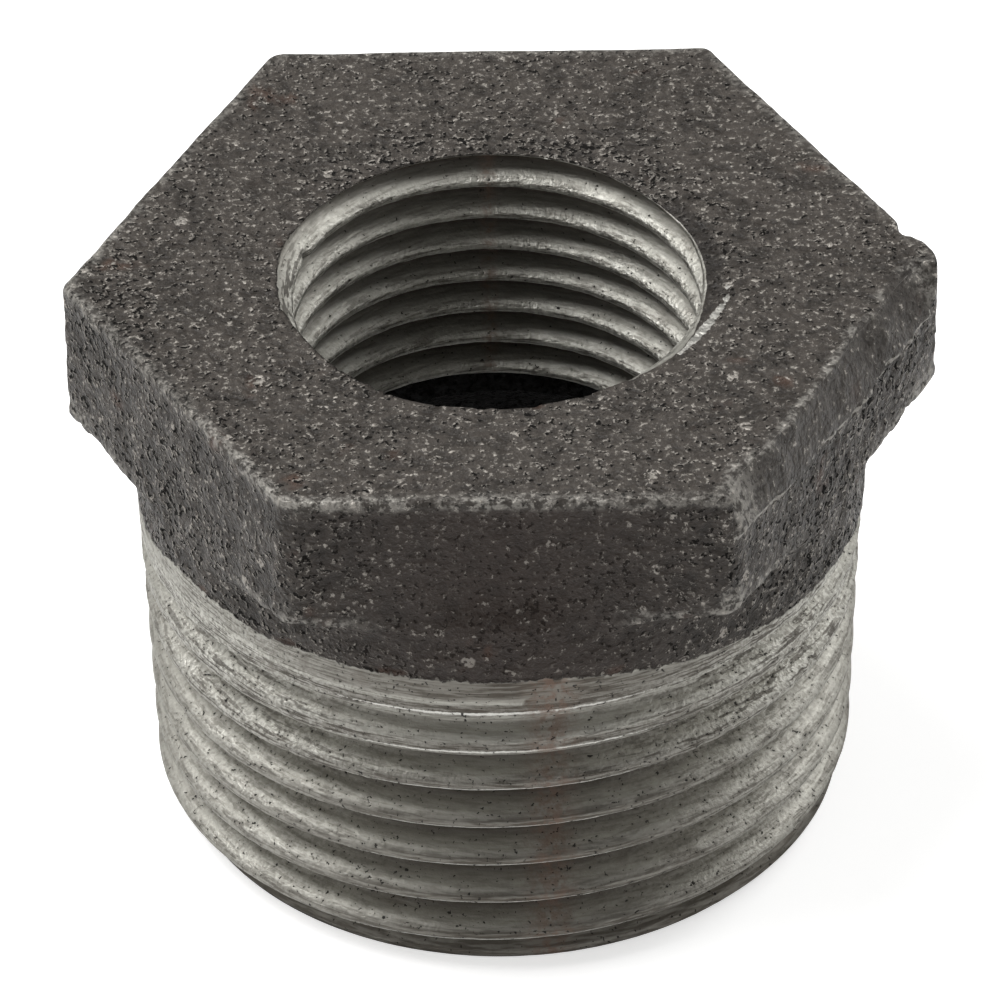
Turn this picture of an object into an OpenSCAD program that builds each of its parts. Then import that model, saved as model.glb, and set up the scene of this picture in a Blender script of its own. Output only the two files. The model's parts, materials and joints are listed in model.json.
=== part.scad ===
// Hexagon-headed reducing bushing in cast iron, with a taper male thread and a
// parallel female thread on one axis. It stands on its male end, and its origin is
// the centre of that end. +Z runs up the axis, and one flat of the head faces -Y.

/* [Male thread] */
// Major diameter of the male thread at its gauge plane
male_d = 33.249; // [32:0.001:34.5]
// Distance from the small end to the gauge plane
male_gauge_len = 10.4; // [8:0.1:12]
// Pitch of the male thread
male_pitch = 2.309; // [2:0.001:2.6]
// Depth of the male thread, crest to root
male_depth = 1.479; // [1:0.001:1.6]
// Axial length over which the diameter grows by 1 mm
male_taper = 16; // [12:1:24]
// Length of the turned end, from the small end to the cast skin
male_len = 17.6; // [15:0.1:20]
// Turns over which the last groove runs out to nothing
male_runout_turns = 1.2; // [0.5:0.1:2]
// Plain turned band above the run-out
male_band = 0.9; // [0.4:0.1:1.5]
// Diameter of the small end's face
male_end_d = 30.2; // [28.5:0.1:32]
// Height of the chamfer at the small end
male_end_chamfer = 1.2; // [0.5:0.1:2]
// Height of the lowest crest on the -Y side
male_crest_z = 2.1; // [0:0.1:2.3]

/* [Female thread] */
// Minor diameter of the female thread, across its crests
female_d = 18.631; // [17.5:0.001:19.5]
// Major diameter of the female thread, across its roots
female_root_d = 20.955; // [20:0.001:22]
// Pitch of the female thread
female_pitch = 1.814; // [1.6:0.001:2]
// Depth of the threaded bore below the head's face
female_len = 13.2; // [11:0.1:15]
// Width of each crest of the female thread
female_crest = 0.35; // [0.2:0.01:0.5]
// Depth from the head's face to the first crest
female_first_crest = 1.5; // [1.2:0.1:1.8]
// Diameter of the mouth's countersink at the head's face
mouth_d = 19.5; // [19:0.1:21]

/* [Head] */
// Width across the head's flats
head_af = 34.8; // [34:0.1:40]
// Height of the head
head_h = 7; // [5:0.1:12]
// How far the head's corners are blunted
head_corner_cut = 0.1; // [0.05:0.05:1]
// Break on the head's upper and lower edges
head_edge = 0.35; // [0.1:0.05:1]
// Sideways shift of the cast head from the turned axis, along X
head_shift_x = 0.2; // [-1:0.1:1]
// Sideways shift of the cast head from the turned axis, along Y
head_shift_y = 0.8; // [-1:0.1:1]

/* [Neck] */
// Length of the cast neck between the turned end and the head
neck_len = 3; // [2:0.1:6]
// How far the cast neck stands out from the turned end
neck_step = 0.1; // [0.05:0.05:0.6]
// Radius of the fillet under the head's corners
neck_fillet = 2.2; // [0.5:0.1:3]
// How far the neck runs up over the flats that it stands proud of
neck_blend = 1.4; // [0.5:0.1:2]

/* [Cored end] */
// Diameter of the cored hollow at the small end
core_d = 23.6; // [21:0.1:25]
// Side draft of the cored hollow, in degrees
core_draft = 1.5; // [0:0.5:4]
// Height of the sloping shoulder between the hollow and the threaded bore
core_shoulder = 2.6; // [1:0.1:5]

/* [Gate] */
// Height of the broken gate's stub on one flat of the head
gate_h = 3.3; // [1:0.1:4.5]
// How far the stub stands out from its flat
gate_proud = 0.3; // [0.1:0.05:1]
// Break along the stub's upper edge
gate_edge = 0.8; // [0.3:0.1:1.5]
// Distance of the stub's ends from the corners of its flat
gate_inset = 0.4; // [0:0.1:3]
// Number of the flat that carries the stub, counted round from the -Y flat
gate_flat = 1; // [0:1:5]

/* [Hidden] */

$fn = 96;
CLEAR = 1;                 // how far a cut runs past the faces it opens
THREAD_ANGLE = 55;         // included angle of both threads
SEGMENTS = 48;             // facets in one turn of the male thread

head_z = male_len + neck_len;
top_z = head_z + head_h;
neck_d = 2 * crest_r(male_len) + 2 * neck_step;
female_z = top_z - female_len;

// Radius of the male thread's crest line at height z
function crest_r(z) = male_d / 2 + (z - male_gauge_len) / (2 * male_taper);

// Axial run of one flank of a thread of this depth
function flank(depth) = depth * tan(THREAD_ANGLE / 2);

male_flat = (male_pitch - 2 * flank(male_depth)) / 2;
runout_end_z = male_len - male_band;

// How much of its full depth the male groove has at height z
function groove_share(z) =
    max(0, min(1, (runout_end_z - z) / (male_runout_turns * male_pitch)));

// One section of the male thread, root first, at its place along the helix
function thread_section(turn, z) =
    let (
        zs = [z, z + male_flat, z + male_flat + flank(male_depth), z + male_pitch - flank(male_depth)],
        depth = male_depth * groove_share(z + male_flat / 2),
        rs = [crest_r(zs[0]) - depth, crest_r(zs[1]) - depth, crest_r(zs[2]), crest_r(zs[3])]
    )
    [for (k = [0 : 3]) [rs[k] * cos(360 * turn), rs[k] * sin(360 * turn), zs[k]]];

// Solid taper screw that reaches past both ends of the turned length. Each turn
// shares its upper edge with the turn above, so the helix is one closed skin.
module taper_screw() {
    // the middle of the crest at the -Y side, three quarters of a turn round, sets the start
    crest_mid = male_flat + flank(male_depth) + male_flat / 2;
    start_z = male_crest_z - crest_mid - 1.75 * male_pitch;
    turns = ceil((male_len + CLEAR - start_z) / male_pitch) + 1;
    last = turns * SEGMENTS;
    sections = [
        for (i = [0 : last])
            each thread_section(i / SEGMENTS, start_z + male_pitch * i / SEGMENTS)
    ];
    bottom = len(sections);
    top = bottom + 1;
    // index of point k of section i
    function at(i, k) = 4 * i + k;
    skin = [
        for (i = [0 : last - 1], k = [0 : 2])
            each [
                [at(i, k), at(i, k + 1), at(i + 1, k + 1)],
                [at(i, k), at(i + 1, k + 1), at(i + 1, k)]
            ]
    ];
    joins = [
        for (i = [0 : last - SEGMENTS - 1])
            each [
                [at(i, 3), at(i + SEGMENTS, 0), at(i + SEGMENTS + 1, 0)],
                [at(i, 3), at(i + SEGMENTS + 1, 0), at(i + 1, 3)]
            ]
    ];
    lower_loop = concat(
        [for (i = [0 : SEGMENTS]) at(i, 0)],
        [at(0, 3), at(0, 2), at(0, 1)]
    );
    upper_loop = concat(
        [for (i = [last - SEGMENTS : last]) at(i, 3)],
        [at(last, 2), at(last, 1), at(last, 0)]
    );
    lower_cap = [
        for (i = [0 : len(lower_loop) - 1])
            [bottom, lower_loop[i], lower_loop[(i + 1) % len(lower_loop)]]
    ];
    upper_cap = [
        for (i = [0 : len(upper_loop) - 1])
            [top, upper_loop[(i + 1) % len(upper_loop)], upper_loop[i]]
    ];
    polyhedron(
        points = concat(
            sections,
            [[0, 0, start_z], [0, 0, start_z + male_pitch * (turns + 1)]]
        ),
        faces = concat(skin, joins, lower_cap, upper_cap)
    );
}

// Turned end: the taper screw cut to length, with its small end chamfered
module male_end() {
    end_r = male_end_d / 2;
    envelope_r = crest_r(male_len) + CLEAR;
    chamfer_slope = male_end_chamfer / (crest_r(male_end_chamfer) - end_r);
    chamfer_rise = chamfer_slope * (envelope_r - end_r);
    intersection() {
        taper_screw();
        union() {
            cylinder(h = chamfer_rise, r1 = end_r, r2 = envelope_r);
            translate([0, 0, chamfer_rise])
                cylinder(h = male_len + CLEAR / 2 - chamfer_rise, r = envelope_r);
        }
    }
}

// Cast neck. It fades out over the flats, and flares through a fillet under the corners.
module neck() {
    r = neck_d / 2;
    translate([0, 0, male_len])
        cylinder(h = neck_len, r = r);
    translate([0, 0, head_z])
        cylinder(h = neck_blend, r1 = r, r2 = r - neck_blend);
    intersection() {
        corner_flare();
        translate([head_shift_x, head_shift_y, male_len])
            head_bar(neck_len + head_edge);
    }
}

// Ring with a filleted underside, from which the bar of the head keeps the corners
module corner_flare() {
    r = neck_d / 2;
    fillet = min(neck_fillet, neck_len);
    translate([0, 0, head_z - fillet])
        rotate_extrude()
            difference() {
                square([r + fillet, fillet + head_edge]);
                translate([r + fillet, 0])
                    circle(fillet);
            }
}

// Hexagonal bar with one flat facing -Y and its corners blunted
module head_bar(h) {
    corner_r = head_af / 2 / cos(30);
    intersection() {
        cylinder(h = h, r = corner_r, $fn = 6);
        cylinder(h = h, r = corner_r - head_corner_cut);
    }
}

// Head, with its upper and lower edges broken
module head() {
    side = head_edge * sqrt(2);
    difference() {
        head_bar(head_h);
        for (k = [0 : 5], z = [0, head_h])
            rotate([0, 0, 60 * k])
                translate([0, -head_af / 2, z])
                    rotate([45, 0, 0])
                        cube([head_af, side, side], center = true);
    }
}

// Stub of the broken gate, a low pad along the top of one flat
module gate_stub() {
    length = head_af * tan(30) - 2 * gate_inset;
    root = gate_edge + CLEAR;
    rotate([0, 0, 60 * gate_flat])
        translate([-length / 2, -head_af / 2, head_h])
            rotate([90, 0, 90])
                linear_extrude(length)
                    polygon([
                        [root, -gate_h],
                        [0, -gate_h],
                        [-gate_proud, gate_proud - gate_h],
                        [-gate_proud, -gate_edge],
                        [gate_edge - gate_proud, 0],
                        [root, 0]
                    ]);
}

// Threaded bore from the head's face, with its countersunk mouth
module female_bore() {
    translate([0, 0, female_z - CLEAR])
        cylinder(h = female_len + 2 * CLEAR, d = female_d);
    mouth_depth = (mouth_d - female_d) / 2;
    translate([0, 0, top_z - mouth_depth])
        cylinder(h = mouth_depth + CLEAR, d1 = female_d, d2 = mouth_d + 2 * CLEAR);
    grooves = floor((female_len - female_first_crest) / female_pitch);
    for (k = [-1 : grooves - 1])
        translate([0, 0, top_z - female_first_crest - (k + 0.5) * female_pitch])
            female_groove();
}

// One groove of the female thread. It is a plain ring, without the thread's lead, so
// that each crest stays a true round land.
module female_groove() {
    half = (female_pitch - female_crest) / 2;
    root_half = half - flank((female_root_d - female_d) / 2);
    rotate_extrude()
        polygon([
            [female_d / 2 - CLEAR, -half],
            [female_d / 2, -half],
            [female_root_d / 2, -root_half],
            [female_root_d / 2, root_half],
            [female_d / 2, half],
            [female_d / 2 - CLEAR, half]
        ]);
}

// Cored hollow in the small end, closing over a shoulder to the threaded bore
module core() {
    hollow_h = female_z - core_shoulder;
    top_d = core_d - 2 * hollow_h * tan(core_draft);
    translate([0, 0, -CLEAR])
        cylinder(h = CLEAR + hollow_h, d1 = core_d + 2 * CLEAR * tan(core_draft), d2 = top_d);
    translate([0, 0, hollow_h])
        cylinder(h = core_shoulder, d1 = top_d, d2 = female_d);
}

// The whole fitting, cast in one piece
module reducer_bushing() {
    color([0.24, 0.23, 0.22])
        difference() {
            union() {
                male_end();
                neck();
                translate([head_shift_x, head_shift_y, head_z]) {
                    head();
                    gate_stub();
                }
            }
            female_bore();
            core();
        }
}

reducer_bushing();
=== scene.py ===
# %% [markdown]
# A cast iron reducing bushing
# The part is one casting: a hexagon head, a short neck, a taper male thread below it and a
# smaller female thread through it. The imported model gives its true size. This file remakes
# its skin as one closed mesh, with the sand-cast texture, the torn thread and the broken
# gate, and then gives it two finishes: cast skin and turned metal.

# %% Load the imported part
import json
import math

import bpy
import numpy as np
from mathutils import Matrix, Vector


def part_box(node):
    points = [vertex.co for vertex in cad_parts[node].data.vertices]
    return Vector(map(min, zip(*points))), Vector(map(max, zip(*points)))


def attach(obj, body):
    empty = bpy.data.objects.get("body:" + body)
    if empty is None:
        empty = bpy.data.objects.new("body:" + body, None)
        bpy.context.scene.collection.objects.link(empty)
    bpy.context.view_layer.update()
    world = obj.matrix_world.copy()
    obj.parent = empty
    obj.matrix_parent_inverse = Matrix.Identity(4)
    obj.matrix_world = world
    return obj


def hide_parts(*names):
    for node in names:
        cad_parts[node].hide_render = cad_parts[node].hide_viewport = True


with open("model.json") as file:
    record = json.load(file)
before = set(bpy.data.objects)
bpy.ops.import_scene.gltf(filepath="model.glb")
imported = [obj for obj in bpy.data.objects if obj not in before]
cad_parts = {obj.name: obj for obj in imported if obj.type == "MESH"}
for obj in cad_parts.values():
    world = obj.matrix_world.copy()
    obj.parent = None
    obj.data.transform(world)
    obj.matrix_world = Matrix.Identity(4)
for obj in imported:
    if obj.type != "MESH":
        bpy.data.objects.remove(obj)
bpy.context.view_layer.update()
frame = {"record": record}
NODE = "reducer_bushing"
MM = 0.001
cad_low, cad_high = (np.array(corner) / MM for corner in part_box(NODE))
print("CAD box in mm:", cad_low.round(2), cad_high.round(2))

# %% [markdown]
# The sizes
# Lengths are in millimetres and angles in degrees, anticlockwise from +X seen from above, so
# the side that faces the camera is at 270. The thread sizes are those of the solid.

# %% Driving sizes
mounts = {mount["name"]: mount for mount in frame["record"]["mounts"]}
TOP_Z = cad_high[2]
FRONT = 270.0
BACK = 90.0
HALF_ANGLE = 27.5
SOFTNESS = 0.65

MALE_RADIUS = 33.249 / 2
MALE_GAUGE = 10.4
MALE_TAPER = 1 / 32
MALE_PITCH = 2.309
MALE_DEPTH = 1.479
MALE_CREST_Z = 2.1
END_RADIUS = 15.3
END_CHAMFER = 1.2

FEMALE_RADIUS = mounts["female_thread"]["dims"]["r_mm"]
FEMALE_ROOT = 20.955 / 2
FEMALE_PITCH = 1.814
FEMALE_CREST = 0.35
FEMALE_FIRST_CREST = 1.5
FEMALE_END_Z = 14.4

CORE_RADIUS = 23.6 / 2
CORE_DRAFT = math.tan(math.radians(1.5))
SHOULDER_HEIGHT = 2.6

HEAD_SHIFT = np.array([0.19, 0.82])
NECK_RADIUS = 16.9
NECK_START_Z = 18.3
FILLET = 1.4

# %% [markdown]
# One grid of columns
# Every ring outside has the same columns, so rings join up with no bookkeeping. The narrower
# bore gets half of them. Both counts divide by six, so a column lies on each corner.

# %% Columns
SIDES = 6
OUTER = 480
INNER = OUTER // 2
outer_angle = np.radians(np.arange(OUTER) * 360 / OUTER)
inner_angle = outer_angle[::2]


def smooth_step(low, high, value):
    """Rises from 0 at low to 1 at high along a cubic with flat ends."""
    t = np.clip((value - low) / (high - low), 0, 1)
    return t * t * (3 - 2 * t)


def fade(low, high, value):
    """Falls from 1 at low to 0 at high in the same way."""
    return 1 - smooth_step(low, high, value)


def around(angle_deg, centre, width):
    """A bump that is 1 at one angle and fades to 0 at that many degrees either side."""
    away = np.abs((angle_deg - centre + 180) % 360 - 180)
    return fade(0, width, away)


# %% [markdown]
# Noise worked out from the place alone
# Sand-cast skin is rough at many scales. Each point of space gets its roughness from hashed
# numbers on a lattice, blended smoothly in between. The same point always gets the same
# value, so a closed surface shows no seam.

# %% Noise in space
def hashed(cells, seed):
    """A fixed number from 0 to 1 for each whole-numbered lattice point."""
    x, y, z = (cells[..., k].astype(np.uint64) for k in range(3))
    mask = np.uint64(0xFFFFFFFF)
    value = (x * np.uint64(374761393) + y * np.uint64(668265263)) & mask
    value = (value + z * np.uint64(2246822519) + np.uint64(seed) * np.uint64(3266489917)) & mask
    for shift in (15, 13, 16):
        value = (value ^ (value >> np.uint64(shift))) & mask
        value = (value * np.uint64(2654435761)) & mask
    return value / float(0xFFFFFFFF)


def value_noise(points, size, seed):
    """Noise from -1 to 1 whose bumps are about that many millimetres across."""
    place = points / size + 1000.0
    cell = np.floor(place).astype(np.int64)
    t = place - cell
    t = t * t * (3 - 2 * t)
    total = np.zeros(len(points))
    for corner in np.ndindex(2, 2, 2):
        weight = np.prod(np.where(np.array(corner) == 1, t, 1 - t), axis=1)
        total += weight * hashed(cell + np.array(corner), seed)
    return 2 * total - 1


def fractal(points, size, octaves, seed):
    """Octaves of noise, each half the size and half the height of the one before."""
    total = np.zeros(len(points))
    for octave in range(octaves):
        total += value_noise(points, size / 2**octave, seed + octave) / 2**octave
    return total


def spots(points, size, share, seed):
    """Round spots, 1 at the centre and 0 at the rim, in that share of the lattice's cells."""
    place = points / size + 1000.0
    cell = np.floor(place).astype(np.int64)
    best = np.zeros(len(points))
    for step in np.ndindex(3, 3, 3):
        near = cell + np.array(step) - 1
        centre = near + np.stack([hashed(near, seed + k) for k in range(3)], axis=1)
        radius = 0.25 + 0.3 * hashed(near, seed + 3)
        away = np.linalg.norm(place - centre, axis=1) / radius
        here = np.clip(1 - away, 0, 1) * (hashed(near, seed + 4) < share)
        best = np.maximum(best, here)
    return best


# %% [markdown]
# The threads
# One turn round raises a thread by a pitch, so the distance from the nearest crest depends on
# both angle and height. Flanks are straight lines at half the included angle, clipped by the
# crest and the root. The male thread's tool left the work over the last turns, so its groove
# gets shallower and its crests wider towards the head.

# %% Thread surfaces
def above_crest(angle, z, crest_z, crest_angle, pitch):
    """Height above the nearest crest of a right-hand thread, negative below it."""
    turns = (z - crest_z) / pitch - (angle - math.radians(crest_angle)) / (2 * math.pi)
    return (turns - np.round(turns)) * pitch


def groove_depth(away, flat, depth, pitch):
    """Depth below the crest line: a straight flank between flats, softened by a cosine."""
    flank = (away - flat / 2) / math.tan(math.radians(HALF_ANGLE))
    straight = np.clip(flank, 0, depth)
    wave = depth * (0.5 - 0.5 * np.cos(2 * math.pi * away / pitch))
    return straight + SOFTNESS * (wave - straight)


def crest_radius(z):
    """Radius of the taper thread's crest line."""
    return MALE_RADIUS + (z - MALE_GAUGE) * MALE_TAPER


MALE_FLAT = (MALE_PITCH - 2 * MALE_DEPTH * math.tan(math.radians(HALF_ANGLE))) / 2
LIFT_START_Z = 10.5
LIFT_END_Z = 16.6
LIFT_SHARE = 0.55
LAST_CREST_Z = MALE_CREST_Z + 6 * MALE_PITCH
LAST_FADE = 0.4


def male_surface(angle, z):
    """Radius of the turned end, with its thread and the chamfer at its foot.

    The run-out's limits climb with the thread over the front half, by a quarter of a pitch
    either side of the front, and come down again at the back, so they close on themselves.
    """
    away = np.abs(above_crest(angle, z, MALE_CREST_Z, FRONT, MALE_PITCH))
    depth = groove_depth(away, MALE_FLAT, MALE_DEPTH, MALE_PITCH)
    lead = np.interp(np.degrees(angle), (0, 180, 360), (0.25, -0.25, 0.25)) * MALE_PITCH
    helix_z = z - lead
    lift = LIFT_SHARE * smooth_step(LIFT_START_Z, LIFT_END_Z, helix_z)
    lift += smooth_step(LAST_CREST_Z - LAST_FADE, LAST_CREST_Z + LAST_FADE, helix_z)
    depth = np.maximum(depth - lift * MALE_DEPTH, 0)
    chamfer = END_RADIUS + (crest_radius(END_CHAMFER) - END_RADIUS) * z / END_CHAMFER
    return np.minimum(crest_radius(z) - depth, chamfer)


CREST_TOP_Z = TOP_Z - FEMALE_FIRST_CREST
CHIP_ANGLE = 158.0
CHIP_WIDTH = 4.0
CHIP_Z = 25.95
CHIP_DEPTH = 0.3


def female_surface(angle, z):
    """Radius of the bore, with its thread and the chip out of the first crest."""
    away = np.abs(above_crest(angle, z, CREST_TOP_Z, BACK, FEMALE_PITCH))
    depth = groove_depth(away, FEMALE_CREST, FEMALE_ROOT - FEMALE_RADIUS, FEMALE_PITCH)
    chip = around(np.degrees(angle), CHIP_ANGLE, CHIP_WIDTH) * smooth_step(CHIP_Z, CHIP_Z + 0.2, z)
    depth = np.maximum(depth, CHIP_DEPTH * chip)
    return FEMALE_RADIUS + depth


# %% [markdown]
# Rings that climb with the thread
# On level rings a thread's crest would turn into steps. So these rings climb with the helix,
# by one pitch a turn. They are clamped to the stretch's ends, where many fall together.

# %% Helical strips
def helix_rows(angle, low_z, high_z, crest_z, crest_angle, pitch, offsets):
    """Heights of all the climbing rings, one row each. The offsets make up a turn."""
    lead = (angle - math.radians(crest_angle)) / (2 * math.pi) * pitch
    first = math.floor((low_z - crest_z) / pitch) - 2
    last = math.ceil((high_z - crest_z) / pitch) + 2
    turn = np.arange(first, last + 1)[:, None] * pitch
    base = (crest_z + turn + np.array(offsets)[None, :]).ravel()
    heights = base[:, None] + lead[None, :]
    return np.clip(heights, low_z, high_z)


def strip_faces(count, columns, shift, start):
    """Quads between neighbouring rings. The last column joins the first, shift rings up."""
    rows = np.arange(count - 1 - shift)
    here = np.arange(columns)
    right = (here + 1) % columns
    climb = np.where(here == columns - 1, shift, 0)
    a = rows[:, None] * columns + here
    b = (rows[:, None] + climb) * columns + right
    quads = np.stack([a, b, b + columns, a + columns], axis=-1).reshape(-1, 4)
    return quads + start


# %% [markdown]
# The head's outline
# The casting is not a perfect hexagon: some flats lean by a degree or two, and the corners
# are rounded unevenly. Each side is a line given by its distance from the head's centre and
# its lean. Neighbouring lines meet in the corners, which are rounded by short curves.

# %% Outline of the head
SIDE_NORMALS = (30.0, 90.0, 150.0, 210.0, 270.0, 330.0)
SIDE_OUT = (17.38, 17.27, 17.42, 17.44, 17.22, 17.38)
SIDE_LEAN = (0.0, 0.012, -0.035, -0.026, 0.0165, 0.0)
CORNER_ROUND = (0.5, 0.35, 0.6, 0.35, 0.8, 0.7)
CORNER_COLUMNS = 5
UNDERSIDE_Z = (20.85, 20.6, 20.4, 20.05, 20.55, 20.9)


def toward(side_angle):
    """Unit vector in plan that points at that angle."""
    return np.array([math.cos(math.radians(side_angle)), math.sin(math.radians(side_angle))])


def leftward(vector):
    """A vector in plan, turned a quarter turn anticlockwise."""
    return np.array([-vector[1], vector[0]])


def head_corners():
    """Corners where each side's line meets the one before it, as x and y."""
    lines = []
    for side_angle, lean in zip(SIDE_NORMALS, SIDE_LEAN):
        lines.append(toward(side_angle) - lean * leftward(toward(side_angle)))
    pairs = [(k - 1, k) for k in range(SIDES)]
    return [np.linalg.solve([lines[j], lines[k]], [SIDE_OUT[j], SIDE_OUT[k]]) for j, k in pairs]


def head_outline():
    """Outline points, one a column: straight sides, and a parabola round each corner."""
    corners = head_corners()
    per_side = OUTER // SIDES
    points = np.zeros((OUTER, 2))
    for k in range(SIDES):
        start, end = corners[k], corners[(k + 1) % SIDES]
        unit = (end - start) / np.linalg.norm(end - start)
        first = start + unit * CORNER_ROUND[k]
        last = end - unit * CORNER_ROUND[(k + 1) % SIDES]
        straight = np.linspace(first, last, per_side - 2 * CORNER_COLUMNS + 1)
        at = k * per_side + CORNER_COLUMNS + np.arange(len(straight))
        points[at % OUTER] = straight
    for k in range(SIDES):
        before = points[(k * per_side - CORNER_COLUMNS) % OUTER]
        after = points[(k * per_side + CORNER_COLUMNS) % OUTER]
        t = np.linspace(0, 1, 2 * CORNER_COLUMNS + 1)[:, None]
        curve = (1 - t) ** 2 * before + 2 * t * (1 - t) * corners[k] + t**2 * after
        at = k * per_side - CORNER_COLUMNS + np.arange(len(curve))
        points[at % OUTER] = curve
    return points + HEAD_SHIFT


outline = head_outline()
print("Head outline reaches", outline.min(0).round(2), outline.max(0).round(2))

# %% [markdown]
# The mouth of the bore
# The mouth is not round. The thread's groove runs out through the face, and the tap left a
# ragged lip. Its radius is known at a few angles and is smooth in between.

# %% Mouth of the bore
MOUTH_ANGLES = (10, 43, 73, 108, 136, 163, 185, 210, 232, 245, 265, 300, 326, 350)
MOUTH_RADII = (9.55, 9.35, 9.68, 9.78, 9.88, 10.1, 9.98, 9.72, 9.76, 9.85, 9.66, 9.62, 9.95, 9.6)
LIP_HEIGHT = 0.35


def mouth_radius(angle):
    """Radius of the mouth at the face, smooth between the known angles."""
    known = np.array(MOUTH_ANGLES, float)
    degrees = np.degrees(angle)
    k = np.searchsorted(known, degrees, side="right") - 1
    start = known[k]
    end = known[(k + 1) % len(known)]
    span = (end - start) % 360
    t = ((degrees - start) % 360) / span
    t = t * t * (3 - 2 * t)
    radii = np.array(MOUTH_RADII)
    return radii[k] * (1 - t) + radii[(k + 1) % len(known)] * t


def bore_surface(angle, z):
    """Radius of the bore, blended into the mouth's outline just below the face."""
    blend = smooth_step(TOP_Z - LIP_HEIGHT, TOP_Z, z)
    thread = female_surface(angle, z)
    return thread * (1 - blend) + mouth_radius(angle) * blend


# %% [markdown]
# Stacking the rings
# The skin is a closed band: up the outside, in over the top face, down the bore and the
# cored hollow, and out again under the foot. Where two stretches meet, both have the same
# ring, and the two merge later. The tool cut up to a wavy line, higher at the front and the
# back, and the skin starts a step inside it.

# %% Rings of the outside
points = []
quads = []
count = 0


def add_rings(rings, columns, shift=0):
    """Adds rings of points, each an array of columns by 3, and the quads between them."""
    global count
    rings = np.asarray(rings, float)
    points.append(rings.reshape(-1, 3))
    quads.append(strip_faces(len(rings), columns, shift, count))
    count += rings.shape[0] * columns


def ring(radius, angle, z):
    """Points at a radius and an angle round the axis, at height z."""
    z = np.broadcast_to(z, np.shape(angle))
    return np.stack([radius * np.cos(angle), radius * np.sin(angle), z], axis=-1)


CUT_ANGLES = (20, 60, 120, 175, 194, 208, 217, 228, 236, 270, 276, 301, 324, 334, 341, 346)
CUT_TOPS = (16.1, 17.2, 17.5, 16.7, 16.5, 17.55, 17.6, 17.36)
CUT_TOPS += (17.52, 17.62, 17.72, 16.85, 16.4, 16.33, 15.88, 15.6)
CUT_STEP = 0.07


def cut_top(angle):
    """Height where the turned surface ends and the cast skin begins."""
    return np.interp(np.degrees(angle), CUT_ANGLES, CUT_TOPS, period=360)


MALE_OFFSETS = (-0.962, -0.7, -0.43, -0.2, 0.0, 0.2, 0.43, 0.7, 0.962, 1.154)


def outer_surface(angle, z):
    """Radius up to the neck: the tool's surface, and above its end the casting's."""
    above = z - cut_top(angle)
    tool = male_surface(angle, z)
    skin = tool - CUT_STEP
    cast = np.minimum(skin, NECK_RADIUS) + (NECK_RADIUS - skin) * smooth_step(0.1, 0.55, above)
    return np.where(above > 0, cast, tool)


heights = helix_rows(outer_angle, 0, NECK_START_Z, MALE_CREST_Z, FRONT, MALE_PITCH, MALE_OFFSETS)
angles = np.broadcast_to(outer_angle, heights.shape)
add_rings(ring(outer_surface(angles, heights), angles, heights), OUTER, len(MALE_OFFSETS))
print("Male thread rings:", len(heights))

# %% [markdown]
# The neck, the fillet and the flats
# Under each corner the neck turns out through a fillet into the head's level underside.
# Over the middle of a flat the head stands out so little that the neck runs straight into
# it, and in front it even stands proud and fades back. One rule gives both: the fillet turns
# only as far as it needs to reach the flat.

# %% Rings of the neck and head
def wrap_between(values, columns):
    """One value a column, straight between the values at the head's corners."""
    place = np.arange(columns) * SIDES / columns
    k = np.floor(place).astype(int)
    t = place - k
    known = np.array(values)
    return known[k] * (1 - t) + known[(k + 1) % SIDES] * t


under_z = wrap_between(UNDERSIDE_Z, OUTER)
neck_xy = ring(NECK_RADIUS, outer_angle, 0)[:, :2]
column_angle = np.unwrap(np.arctan2(outline[:, 1], outline[:, 0]))
neck_at_head = ring(NECK_RADIUS, column_angle, 0)[:, :2]
head_radius = np.linalg.norm(outline, axis=1)
head_reach = head_radius - NECK_RADIUS
turned_out = np.arccos(np.clip(1 - head_reach / FILLET, 0, 1))
ledge = np.maximum(head_reach - FILLET, 0)
proud = np.maximum(-head_reach, 0)
outward = outline / head_radius[:, None]

EDGE_LOW = 0.3
EDGE_CUT = 0.09
EDGE_TOP = 0.26
EDGE_WAVER = 0.1
edge_top = EDGE_TOP + EDGE_WAVER * fractal(ring(20.0, outer_angle, 27.0), 3.0, 3, 11)
edge_top = np.convolve(np.r_[edge_top[-4:], edge_top, edge_top[:4]], np.ones(9) / 9, "valid")
NECK_ROWS = 4
FILLET_ROWS = 6
LEDGE_ROWS = 4
FLAT_ROWS = 24


def head_ring(offset, z):
    """A ring whose columns stand that far out from the neck's cylinder."""
    place = neck_at_head + outward * offset[:, None]
    return np.column_stack([place, z])


fillet_start_z = under_z - FILLET
neck_rings = []
for t in np.linspace(0, 1, NECK_ROWS):
    place = neck_xy * (1 - t) + neck_at_head * t
    place *= NECK_RADIUS / np.linalg.norm(place, axis=1, keepdims=True)
    neck_rings.append(np.column_stack([place, NECK_START_Z * (1 - t) + fillet_start_z * t]))
for t in np.linspace(0, 1, FILLET_ROWS)[1:]:
    turned = turned_out * t
    offset = FILLET * (1 - np.cos(turned))
    neck_rings.append(head_ring(offset, fillet_start_z + FILLET * np.sin(turned)))
flat_start_z = fillet_start_z + FILLET * np.sin(turned_out)
on_ledge = np.maximum(ledge - EDGE_LOW, 0)
for t in np.linspace(0, 1, LEDGE_ROWS)[1:]:
    offset = np.minimum(head_reach + proud, FILLET) + on_ledge * t
    neck_rings.append(head_ring(offset, flat_start_z))
corner_share = np.clip(ledge / EDGE_LOW, 0, 1)
nearly_out = head_reach + proud - EDGE_CUT * corner_share
neck_rings.append(head_ring(nearly_out, flat_start_z + EDGE_CUT * corner_share))
edge_z = flat_start_z + EDGE_LOW * corner_share
top_edge_z = TOP_Z - edge_top
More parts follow.
